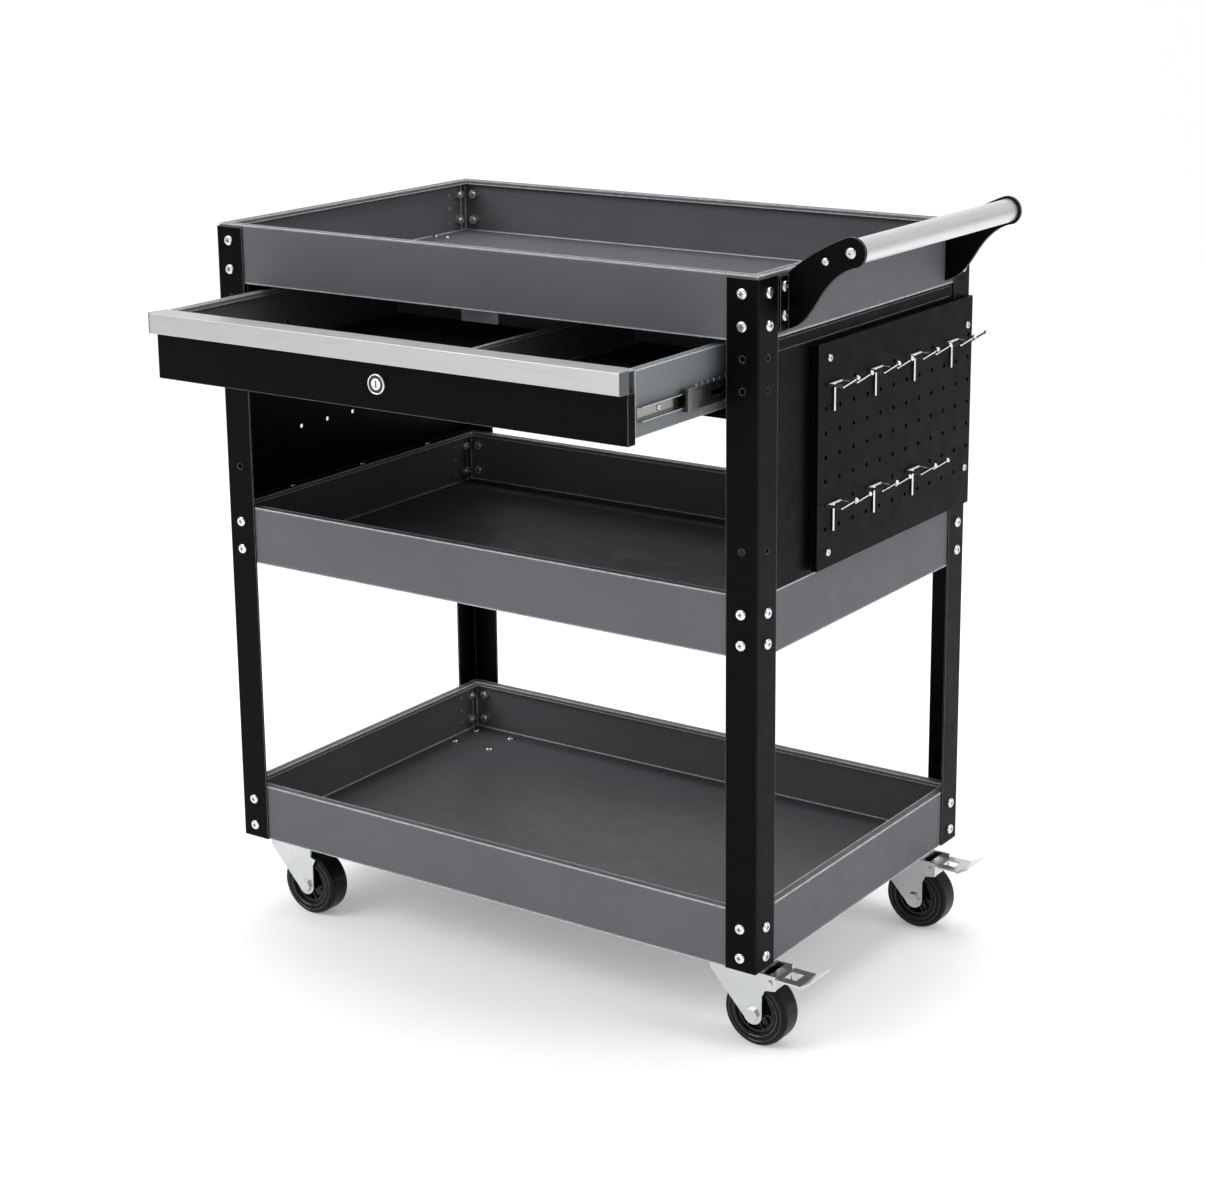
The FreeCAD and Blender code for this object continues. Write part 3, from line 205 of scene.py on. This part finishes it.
def rubber(name, colour, roughness, gloss=0.5):
    """Moulded rubber or plastic: matt mottling, fine skin and a little dust in the grain."""
    finish = Finish(name, colour, roughness)
    finish.shader.inputs["Specular IOR Level"].default_value = gloss
    dust = finish.noise(scale=38.0, detail=5.0)
    dusty = tuple(c + 0.006 for c in colour)
    finish.set("Base Color", finish.mix(finish.remap(dust, (0.45, 0.8), (0.0, 0.5)),
                                        colour, dusty))
    finish.roughen(dust, roughness - 0.1, roughness + 0.1)
    finish.bump(finish.noise(scale=900.0, detail=2.0), strength=0.2)
    return finish.material


def ribbed_mat(name, colour):
    """Drawer liner: fine ribs from front to back, with painted shade in the valleys between them.
    """
    finish = Finish(name, colour, roughness=0.75)
    wave = finish.add("ShaderNodeTexWave", wave_type="BANDS", bands_direction="X")
    wave.inputs["Scale"].default_value = 90.0
    finish.link(finish.coords, wave.inputs["Vector"])
    ribs = wave.outputs["Fac"]
    # Painted shade: darker colour where the ribs are low.
    finish.set("Base Color", finish.mix(ribs, shade(colour, 0.6), colour))
    finish.bump(ribs, strength=0.6, distance=0.8 * MM)
    return finish.material


def glowing_white(name, level, roughness, glow):
    """Matt white with a faint even glow, for the studio floor."""
    colour = (level, level, level)
    finish = Finish(name, colour, roughness)
    tone = finish.noise(scale=2.0, detail=2.0)
    finish.set("Base Color", finish.mix(tone, shade(colour, 0.985), colour))
    finish.shader.inputs["Emission Color"].default_value = (1.0, 1.0, 1.0, 1.0)
    finish.shader.inputs["Emission Strength"].default_value = glow
    return finish.material


# ---- finishes -------------------------------------------------------------------------
COAT_BLACK = (0.0014, 0.0014, 0.0015)
SCREW_BLACK = (0.01, 0.01, 0.01)
# Edge colours: painted highlight on the edges; on powder coat it comes in patches like wear.
BLACK_EDGE = (0.24, 0.24, 0.25)
BOARD_EDGE = (0.03, 0.03, 0.03)
GREY_EDGE = (0.86, 0.87, 0.89)
BRIGHT_EDGE = (0.95, 0.95, 0.96)
RECIPES = {
    "post_black": (powder_coat, dict(colour=COAT_BLACK, edge=BLACK_EDGE, roughness=0.36,
                                     gloss=0.05, edge_radius=1.1 * MM)),
    "board_black": (powder_coat, dict(colour=COAT_BLACK, edge=BOARD_EDGE, roughness=0.42,
                                      gloss=0.05, edge_radius=0.8 * MM)),
    "tray_grey": (powder_coat, dict(colour=(0.100, 0.102, 0.111), edge=GREY_EDGE,
                                    roughness=0.50, gloss=0.22, edge_radius=2.6 * MM)),
    "drawer_grey": (powder_coat, dict(colour=(0.155, 0.168, 0.178), edge=GREY_EDGE)),
    "pull_silver": (brushed, dict(colour=(0.53, 0.54, 0.55), roughness=0.38, along=X)),
    "tube_silver": (brushed, dict(colour=(0.72, 0.73, 0.74), roughness=0.34, along=Y)),
    "zinc": (zinc_plate, dict(colour=(0.62, 0.635, 0.645), roughness=0.24)),
    "nut_zinc": (zinc_plate, dict(colour=(0.92, 0.92, 0.93), roughness=0.42)),
    "bolt_zinc": (zinc_plate, dict(colour=(0.80, 0.81, 0.82), roughness=0.20)),
    "chrome": (polished, dict(colour=(0.86, 0.86, 0.87))),
    "tyre_black": (rubber, dict(colour=(0.003, 0.003, 0.0031), roughness=0.34, gloss=0.16)),
    "bead_black": (rubber, dict(colour=(0.01, 0.01, 0.01), roughness=0.16, gloss=0.9)),
    "hub_black": (rubber, dict(colour=(0.004, 0.004, 0.0042), roughness=0.2, gloss=0.35)),
    "cap_grey": (rubber, dict(colour=(0.07, 0.07, 0.075), roughness=0.45)),
    "plug_black": (rubber, dict(colour=(0.012, 0.012, 0.012), roughness=0.5)),
    "black_screw": (powder_coat, dict(colour=SCREW_BLACK, edge=BLACK_EDGE, roughness=0.3)),
    "liner": (ribbed_mat, dict(colour=(0.045, 0.045, 0.047))),
    # Painted shade: a darker copy of the zinc for the slides, for the shade in the slides'
    # recess.
    "slide_steel": (zinc_plate, dict(colour=(0.36, 0.36, 0.345), roughness=0.26)),
    # Painted shade: dark colour for the cross recesses of the screw heads and the gap in the
    # lock's face.
    "recess": (zinc_plate, dict(colour=(0.05, 0.05, 0.052), roughness=0.4)),
}
FINISHES = {name: make(name, **values) for name, (make, values) in RECIPES.items()}

# CAD nodes whose finish isn't the one that their material slot names.
SPECIAL = {"handle_tube": "tube_silver", "pegboard": "board_black",
           "slide_outer_members": "slide_steel", "slide_inner_members": "slide_steel",
           "slide_middle_left": "slide_steel", "slide_middle_right": "slide_steel",
           "slide_stop_left": "plug_black", "slide_stop_right": "plug_black",
           "frame_nuts": "nut_zinc", "frame_bolts": "bolt_zinc", "peg_hooks": "bolt_zinc"}
SLOT_OF = {part["node"]: part["material_slot"] for part in frame["record"]["subparts"]}

# Width in millimetres of the rounding on the edges of each finish's pieces.
ROUNDING = {"post_black": 0.5, "tray_grey": 0.5, "drawer_grey": 0.4, "pull_silver": 0.3,
            "zinc": 0.25, "bolt_zinc": 0.25, "nut_zinc": 0.25, "hub_black": 0.4,
            "cap_grey": 0.3, "plug_black": 0.3}
ROUNDED_FROM = math.radians(50)
SHARP_FROM = math.radians(35)


def soften(obj, width):
    """Small rounded edges, as folded sheet and moulded parts have."""
    bevel = obj.modifiers.new("soft_edges", "BEVEL")
    bevel.width = width * MM
    bevel.segments = 2
    bevel.limit_method = "ANGLE"
    bevel.angle_limit = ROUNDED_FROM
    bevel.use_clamp_overlap = True
    bevel.harden_normals = False


def dress_cad_nodes():
    for name, obj in nodes.items():
        finish_name = SPECIAL.get(name, SLOT_OF[name])
        obj.data.materials.clear()
        obj.data.materials.append(FINISHES[finish_name])
        if finish_name in ROUNDING:
            soften(obj, ROUNDING[finish_name])


# ---- mesh helpers ---------------------------------------------------------------------
def smooth_faces(mesh):
    for polygon in mesh.polygons:
        polygon.use_smooth = True


def new_piece(name, build, finish_name, body, rounding=0.0):
    """Make an object from a bmesh builder, finish it and let it ride on a CAD body."""
    mesh = bpy.data.meshes.new(name)
    bm = bmesh.new()
    build(bm)
    bmesh.ops.recalc_face_normals(bm, faces=bm.faces)
    bm.to_mesh(mesh)
    bm.free()
    smooth_faces(mesh)
    obj = bpy.data.objects.new(name, mesh)
    bpy.context.scene.collection.objects.link(obj)
    mesh.materials.append(FINISHES[finish_name])
    mesh.set_sharp_from_angle(angle=SHARP_FROM)
    if rounding:
        soften(obj, rounding)
    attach(obj, body)
    return obj


def angles(count):
    """Equal steps round one turn."""
    return [FULL_TURN * k / count for k in range(count)]


def add_ring(bm, centre, axis, radius, tube, sides=64, around=10):
    """A torus of the given tube radius about an axis."""
    rows = []
    for a in angles(sides):
        row = []
        for b in angles(around):
            r = radius + tube * math.cos(b)
            u, v, w = r * math.cos(a), r * math.sin(a), tube * math.sin(b)
            local = {X: (w, u, v), Y: (u, w, v), Z: (u, v, w)}[axis]
            row.append(bm.verts.new(Vector(centre) + Vector(local)))
        rows.append(row)
    add_skin(bm, rows)


def add_skin(bm, rows):
    """Faces between neighbouring rows of points, closed both ways round."""
    count, around = len(rows), len(rows[0])
    for i in range(count):
        for j in range(around):
            bm.faces.new((rows[i][j], rows[i][(j + 1) % around],
                          rows[(i + 1) % count][(j + 1) % around], rows[(i + 1) % count][j]))


def add_ball(bm, centre, radius):
    bmesh.ops.create_icosphere(bm, subdivisions=2, radius=radius,
                               matrix=Matrix.Translation(Vector(centre)))


def add_block(bm, low, high):
    size = Vector(high) - Vector(low)
    middle = (Vector(high) + Vector(low)) / 2
    matrix = Matrix.Translation(middle) @ Matrix.Diagonal((*size, 1.0))
    bmesh.ops.create_cube(bm, size=1.0, matrix=matrix)


# ---- wheels and casters ---------------------------------------------------------------
SIDEWALL_BEADS = ((0.70, 0.6 * MM), (0.84, 0.45 * MM))     # share of tyre radius, thickness
MOULD_RING_INSET, MOULD_RING = 0.35 * MM, 0.3 * MM
HUB_RIBS = 6
RIB_START, RIB_END_INSET = 9.2 * MM, 3.6 * MM              # from the axle, from the hub's edge
RIB_DEPTH, RIB_THICKNESS, RIB_SET_BACK = 3.4 * MM, 1.8 * MM, 2.6 * MM
SWIVEL_OFFSET = 24 * MM                                    # from the axle back to the swivel axis
RACE_BALLS, RACE_RADIUS, RACE_BALL = 18, 14.5 * MM, 1.6 * MM
RACE_LIP_RADIUS, RACE_LIP = 19.0 * MM, 1.0 * MM


def wheel_details(corner):
    """Sidewall beads and mould ring on the tyre, and ribs in the hub."""
    low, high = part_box("wheel_tyre_" + corner)
    hub_low, hub_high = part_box("wheel_hub_" + corner)
    centre = (low + high) / 2
    radius = (high.z - low.z) / 2
    half_width = (high.y - low.y) / 2
    rib_end = (hub_high.z - hub_low.z) / 2 - RIB_END_INSET

    def beads(bm):
        for side in (-1, 1):
            face = centre.y + side * half_width
            for share, tube in SIDEWALL_BEADS:
                add_ring(bm, (centre.x, face, centre.z), Y, radius * share, tube)
        add_ring(bm, centre, Y, radius - MOULD_RING_INSET, MOULD_RING, sides=96, around=8)

    def ribs(bm):
        size = Matrix.Diagonal((rib_end - RIB_START, RIB_DEPTH, RIB_THICKNESS, 1.0))
        reach = Matrix.Translation(Vector(((RIB_START + rib_end) / 2, 0, 0)))
        for side in (-1, 1):
            face = centre.y + side * (half_width - RIB_SET_BACK)
            shift = Matrix.Translation(Vector((centre.x, face, centre.z)))
            for a in angles(HUB_RIBS):
                turn = Matrix.Rotation(-a, 4, "Y")
                bmesh.ops.create_cube(bm, size=1.0, matrix=shift @ turn @ reach @ size)

    new_piece("tyre_beads_" + corner, beads, "bead_black", "wheel_" + corner)
    new_piece("hub_ribs_" + corner, ribs, "hub_black", "wheel_" + corner, rounding=0.3)


def swivel_balls(corner):
    """Ball ring and race lip between the fork crown and the fixed race."""
    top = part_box("caster_fork_" + corner)[1].z
    low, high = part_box("wheel_tyre_" + corner)
    axle = (low + high) / 2
    x = axle.x - SWIVEL_OFFSET

    def balls(bm):
        for a in angles(RACE_BALLS):
            place = (x + RACE_RADIUS * math.cos(a), axle.y + RACE_RADIUS * math.sin(a), top)
            add_ball(bm, place, RACE_BALL)
        add_ring(bm, (x, axle.y, top), Z, RACE_LIP_RADIUS, RACE_LIP, around=8)

    new_piece("swivel_balls_" + corner, balls, "chrome", "caster_" + corner)


# ---- drawer ---------------------------------------------------------------------------
LINER_LIFT, LINER_THICKNESS, LINER_GAP = 1.25 * MM, 1.4 * MM, 2.5 * MM
STRIP_BALLS, STRIP_BALL = 34, 0.7 * MM
STRIP_END_ROOM, STRIP_STAND_OFF = 20 * MM, 0.8 * MM
LIP_INSET, LIP_THICKNESS, LIP_SET_BACK = 1.0 * MM, 0.8 * MM, 0.45 * MM
# Size and place of the dark ring painted as shade in the gap of the lock's face.
DISH_SIDES = 48
DISH_GAP_INSIDE, DISH_GAP_OUTSIDE = 0.3 * MM, 0.5 * MM
DISH_FRONT, DISH_BACK = -0.02 * MM, 0.6 * MM
RIM_INSET, RIM_THICKNESS, RIM_SET_BACK = 0.6 * MM, 0.35 * MM, 0.3 * MM


def drawer_liner():
    """Ribbed rubber mats on the drawer floor, one each side of the divider."""
    low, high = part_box("drawer_box")
    divider_low, divider_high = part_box("drawer_divider")
    floor = low.z + LINER_LIFT
    spans = {"a": (low.x + LINER_GAP, divider_low.x - LINER_GAP / 2),
             "b": (divider_high.x + LINER_GAP / 2, high.x - LINER_GAP)}
    for letter, (x0, x1) in spans.items():
        def mat(bm):
            add_block(bm, (x0, low.y + LINER_GAP, floor),
                      (x1, high.y - LINER_GAP, floor + LINER_THICKNESS))
        new_piece("drawer_liner_" + letter, mat, "liner", "drawer", rounding=0.4)


def slide_balls(side):
    """Ball strips in both gaps of one slide."""
    low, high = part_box("slide_middle_" + side)
    x = (low.x + high.x) / 2
    start = low.y + STRIP_END_ROOM
    length = high.y - low.y - 2 * STRIP_END_ROOM

    def strips(bm):
        for z in (high.z + STRIP_STAND_OFF, low.z - STRIP_STAND_OFF):
            for k in range(STRIP_BALLS):
                add_ball(bm, (x, start + length * k / (STRIP_BALLS - 1), z), STRIP_BALL)

    new_piece("slide_balls_" + side, strips, "chrome", "slide_" + side)


def lock_face():
    """Chrome lip round a dark ring painted as the shade in the gap round the key plug, with a
    bright rim on the key plug.
    """
    low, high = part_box("lock_barrel")
    plug_low, plug_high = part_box("lock_plug")
    centre = (low + high) / 2
    plug_radius = (plug_high.x - plug_low.x) / 2
    lip_radius = (high.x - low.x) / 2 - LIP_INSET
    face = min(low.y, plug_low.y)

    def lip(bm):
        add_ring(bm, (centre.x, low.y + LIP_SET_BACK, centre.z), Y, lip_radius, LIP_THICKNESS,
                 sides=72, around=12)

    def gap_shade(bm):
        inner, outer = plug_radius + DISH_GAP_INSIDE, lip_radius - DISH_GAP_OUTSIDE
        section = ((inner, DISH_FRONT), (outer, DISH_FRONT), (outer, DISH_BACK),
                   (inner, DISH_BACK))
        add_skin(bm, [[bm.verts.new((centre.x + r * math.cos(a), low.y + depth,
                                     centre.z + r * math.sin(a))) for a in angles(DISH_SIDES)]
                      for r, depth in section])

    def rim(bm):
        add_ring(bm, (centre.x, face + RIM_SET_BACK, centre.z), Y, plug_radius - RIM_INSET,
                 RIM_THICKNESS, sides=48, around=8)

    new_piece("lock_lip", lip, "chrome", "drawer")
    new_piece("lock_gap_shade", gap_shade, "recess", "drawer")
    new_piece("lock_plug_rim", rim, "chrome", "lock_core")


# ---- frame ----------------------------------------------------------------------------
COLLAR_INSET, COLLAR_THICKNESS, COLLAR_SINK = 0.9 * MM, 0.9 * MM, 0.1 * MM
WELDS_PER_CORNER = 3
WELD_START, WELD_STEP, WELD_SCATTER = 14, 17, 1            # millimetres up the wall
WELD_RADIUS, WELD_RIM = 1.6 * MM, 0.25 * MM
WELD_FROM_SIDE, WELD_FROM_END = 1.25 * MM, 34 * MM
BOLT_HEAD_RADIUS = 11.5 * MM / 2
RIM_SHARE = 0.8                                            # points past this are on the head
CROSS_ARM, CROSS_HALF_WIDTH = 0.5, 0.11                    # shares of the head's radius
CROSS_HALF_DEPTH, CROSS_PROUD = 0.25 * MM, 0.02 * MM


def handle_collars():
    """Black plastic collars where the tube meets its brackets."""
    low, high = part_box("handle_tube")
    centre = (low + high) / 2
    radius = (high.z - low.z) / 2 - COLLAR_SINK

    def collars(bm):
        for y in (low.y + COLLAR_INSET, high.y - COLLAR_INSET):
            add_ring(bm, (centre.x, y, centre.z), Y, radius, COLLAR_THICKNESS, sides=72)

    new_piece("handle_collars", collars, "plug_black", "frame")


def tray_welds():
    """Spot-weld rims near the corners of each tray, inside its end walls."""
    scatter = random.Random(7)
    for node in ("top_tray", "middle_tray", "bottom_tray"):
        low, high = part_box(node)

        def welds(bm):
            for x in (low.x + WELD_FROM_SIDE, high.x - WELD_FROM_SIDE):
                for y in (low.y + WELD_FROM_END, high.y - WELD_FROM_END):
                    for k in range(WELDS_PER_CORNER):
                        shift = scatter.uniform(-WELD_SCATTER, WELD_SCATTER)
                        z = low.z + (WELD_START + WELD_STEP * k + shift) * MM
                        add_ring(bm, (x, y, z), X, WELD_RADIUS, WELD_RIM, sides=20, around=6)

        new_piece("welds_" + node, welds, "tray_grey", "frame")


def solids_of(obj):
    """The node's separate solids, each as a list of points."""
    points = [v.co.copy() for v in obj.data.vertices]
    place = {}
    parent = []
    index_of = []
    for point in points:
        key = tuple(round(c, 6) for c in point)
        if key not in place:
            place[key] = len(parent)
            parent.append(place[key])
        index_of.append(place[key])

    def root(i):
        while parent[i] != i:
            parent[i] = parent[parent[i]]
            i = parent[i]
        return i

    for edge in obj.data.edges:
        a, b = (root(index_of[v]) for v in edge.vertices)
        parent[a] = b
    groups = {}
    for i, point in enumerate(points):
        groups.setdefault(root(index_of[i]), []).append(point)
    return list(groups.values())


def screw_head(points, head_radius):
    """A screw's axis, the way its head points, where its head ends and its middle."""
    low = Vector([min(p[k] for p in points) for k in range(3)])
    high = Vector([max(p[k] for p in points) for k in range(3)])
    middle = (low + high) / 2
    size = high - low
    axis = min(range(3), key=lambda k: abs(size[(k + 1) % 3] - size[(k + 2) % 3]))
    across, up = (axis + 1) % 3, (axis + 2) % 3
    on_head = [p[axis] for p in points
               if math.hypot(p[across] - middle[across], p[up] - middle[up])
               > RIM_SHARE * head_radius]
    outward = 1 if sum(on_head) / len(on_head) > middle[axis] else -1
    top = high[axis] if outward > 0 else low[axis]
    return axis, outward, top, middle


def cross_recesses(node, body, head_radius):
    """Dark crosses, painted shade of the cross recesses in the heads of a node's screws,
    whichever way each one points.
    """
    heads = [screw_head(points, head_radius) for points in solids_of(nodes[node])]

    def build(bm):
        for axis, outward, top, middle in heads:
            for long_way in (1, 2):
                half = Vector((0, 0, 0))
                half[axis] = CROSS_HALF_DEPTH
                half[(axis + long_way) % 3] = CROSS_ARM * head_radius
                half[(axis + 3 - long_way) % 3] = CROSS_HALF_WIDTH * head_radius
                at = middle.copy()
                at[axis] = top + outward * (CROSS_PROUD - CROSS_HALF_DEPTH)
                add_block(bm, at - half, at + half)

    new_piece("recess_" + node, build, "recess", body)


# ---- stage ----------------------------------------------------------------------------
CAMERA_AZIMUTH, CAMERA_ELEVATION, CAMERA_ROLL = 34.77, 13.92, -0.60
CAMERA_DISTANCE = 2.90
CAMERA_AIM = Vector((-0.073, 0.142, 0.516))
CAMERA_FAR = 50.0
LENS_MM, SENSOR_MM, SHIFT_UP = 74.9, 36.0, -0.0995

FLOOR_REACH, FLOOR_BACK, FLOOR_CURVE, BACKDROP_HEIGHT = 8.0, 3.2, 1.6, 5.0
CURVE_STEPS = 24
WORLD_STRENGTH = 0.55
CART_MIDDLE = (0, 0, 0.45)
# Each light: name, place, aim, width and height in metres, power in watts.
LIGHTS = (("key", (-1.6, -2.6, 2.6), CART_MIDDLE, (2.4, 1.6), 62),
          ("side", (3.2, 0.6, 1.9), CART_MIDDLE, (1.2, 2.4), 34),
          ("fill", (0.2, -2.8, 0.75), (0, 0, 0.35), (2.6, 0.9), 8),
          ("top", (0.0, 0.3, 3.4), CART_MIDDLE, (3.0, 2.0), 62))


def studio_floor():
    """Pale floor that curves up into a backdrop, square to the camera."""
    profile = [(-FLOOR_REACH, 0.0)]
    for k in range(CURVE_STEPS + 1):
        a = math.pi / 2 * k / CURVE_STEPS
        profile.append((FLOOR_BACK + FLOOR_CURVE * math.sin(a),
                        FLOOR_CURVE - FLOOR_CURVE * math.cos(a)))
    profile.append((FLOOR_BACK + FLOOR_CURVE, BACKDROP_HEIGHT))
    turn = Matrix.Rotation(math.radians(CAMERA_AZIMUTH), 4, "Z")
    bm = bmesh.new()
    left, right = [[bm.verts.new(turn @ Vector((x, y, z))) for y, z in profile]
                   for x in (-FLOOR_REACH, FLOOR_REACH)]
    for k in range(len(profile) - 1):
        bm.faces.new((left[k], right[k], right[k + 1], left[k + 1]))
    mesh = bpy.data.meshes.new("studio_floor")
    bm.to_mesh(mesh)
    bm.free()
    smooth_faces(mesh)
    floor = bpy.data.objects.new("studio_floor", mesh)
    mesh.materials.append(glowing_white("studio_white", level=0.88, roughness=0.9, glow=0.22))
    bpy.context.scene.collection.objects.link(floor)


def soft_light(name, place, aim, size, power):
    light = bpy.data.lights.new(name, "AREA")
    light.shape = "RECTANGLE"
    light.size, light.size_y = size
    light.energy = power
    lamp = bpy.data.objects.new(name, light)
    lamp.location = place
    lamp.rotation_euler = (Vector(aim) - Vector(place)).to_track_quat("-Z", "Y").to_euler()
    bpy.context.scene.collection.objects.link(lamp)


def studio_lights():
    world = bpy.data.worlds.new("studio")
    world.use_nodes = True
    background = world.node_tree.nodes["Background"]
    background.inputs["Color"].default_value = (1.0, 1.0, 1.0, 1.0)
    background.inputs["Strength"].default_value = WORLD_STRENGTH
    bpy.context.scene.world = world
    bpy.context.scene.view_settings.view_transform = "Standard"
    for light in LIGHTS:
        soft_light(*light)


def place_camera():
    data = bpy.data.cameras.new("camera")
    data.sensor_width = SENSOR_MM
    data.lens = LENS_MM
    data.shift_y = SHIFT_UP
    data.clip_end = CAMERA_FAR
    camera = bpy.data.objects.new("camera", data)
    turn = (Matrix.Rotation(math.radians(CAMERA_AZIMUTH), 4, "Z")
            @ Matrix.Rotation(math.radians(90 - CAMERA_ELEVATION), 4, "X")
            @ Matrix.Rotation(math.radians(CAMERA_ROLL), 4, "Z"))
    back = turn.to_3x3() @ Vector((0, 0, 1))
    camera.matrix_world = Matrix.Translation(CAMERA_AIM + back * CAMERA_DISTANCE) @ turn
    bpy.context.scene.collection.objects.link(camera)
    bpy.context.scene.camera = camera


def main():
    dress_cad_nodes()
    for corner in CORNERS:
        wheel_details(corner)
        swivel_balls(corner)
    drawer_liner()
    slide_balls("left")
    slide_balls("right")
    lock_face()
    handle_collars()
    tray_welds()
    cross_recesses("frame_bolts", "frame", BOLT_HEAD_RADIUS)
    studio_floor()
    studio_lights()
    place_camera()


main()
